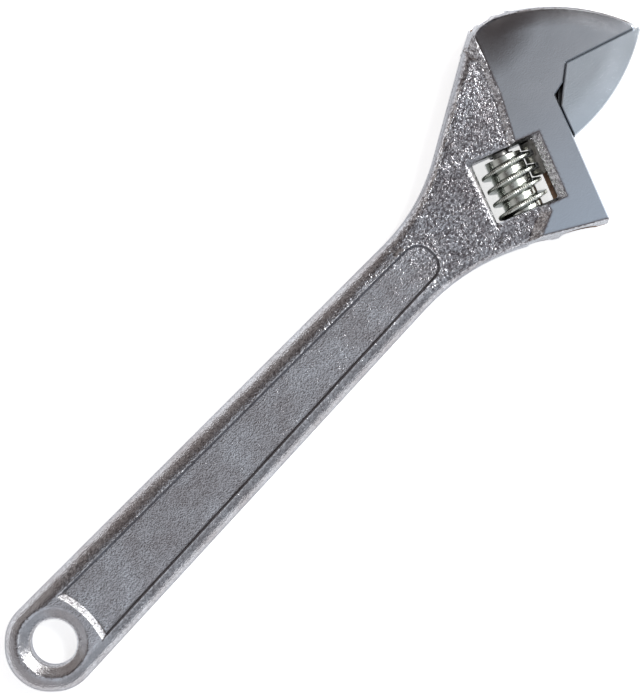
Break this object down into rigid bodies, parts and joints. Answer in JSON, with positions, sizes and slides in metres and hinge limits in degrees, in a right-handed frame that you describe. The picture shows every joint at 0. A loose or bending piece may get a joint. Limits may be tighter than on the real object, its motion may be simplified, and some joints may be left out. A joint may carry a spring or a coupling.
{
  "type": "adjustable wrench",
  "caption": "Adjustable open-end wrench: forged tapered handle with sunk panels and a hanging hole, angled head, and a toothed sliding jaw driven by a sprung thumb worm.",
  "frame": {"origin": "axis of the hanging hole at mid thickness", "axes": "+X along the handle to the head, +Y to the fixed jaw's side, +Z out of the pictured face"},
  "size_m": [0.2046, 0.0525, 0.013],
  "materials": {
    "plated_forging": "satin plating, hammered forged skin, ground head faces",
    "plated_jaw": "satin plating over ground faces",
    "plated_worm": "bright plating, knurled crests",
    "pin_steel": "turned steel",
    "spring_steel": "drawn wire"
  },
  "bodies": {
    "body": {"forged_body": "plated_forging", "worm_pin": "pin_steel", "worm_spring": "spring_steel"},
    "jaw": {"sliding_jaw": "plated_jaw"},
    "worm": {"adjusting_worm": "plated_worm"}
  },
  "joints": [
    {"name": "jaw_slide", "type": "slide", "parent": "body", "child": "jaw", "axis": [-0.3827, -0.9239, 0], "range_m": [0, 0.024]},
    {"name": "worm_spin", "type": "hinge", "parent": "body", "child": "worm", "pos_m": [0.1475, -0.00332, 0], "axis": [0.3827, 0.9239, 0], "range_deg": [0, 2700]}
  ],
  "couplings": [
    {"joint": "worm_spin", "follows": "jaw_slide", "rad_per_m": 1963.5}
  ]
}
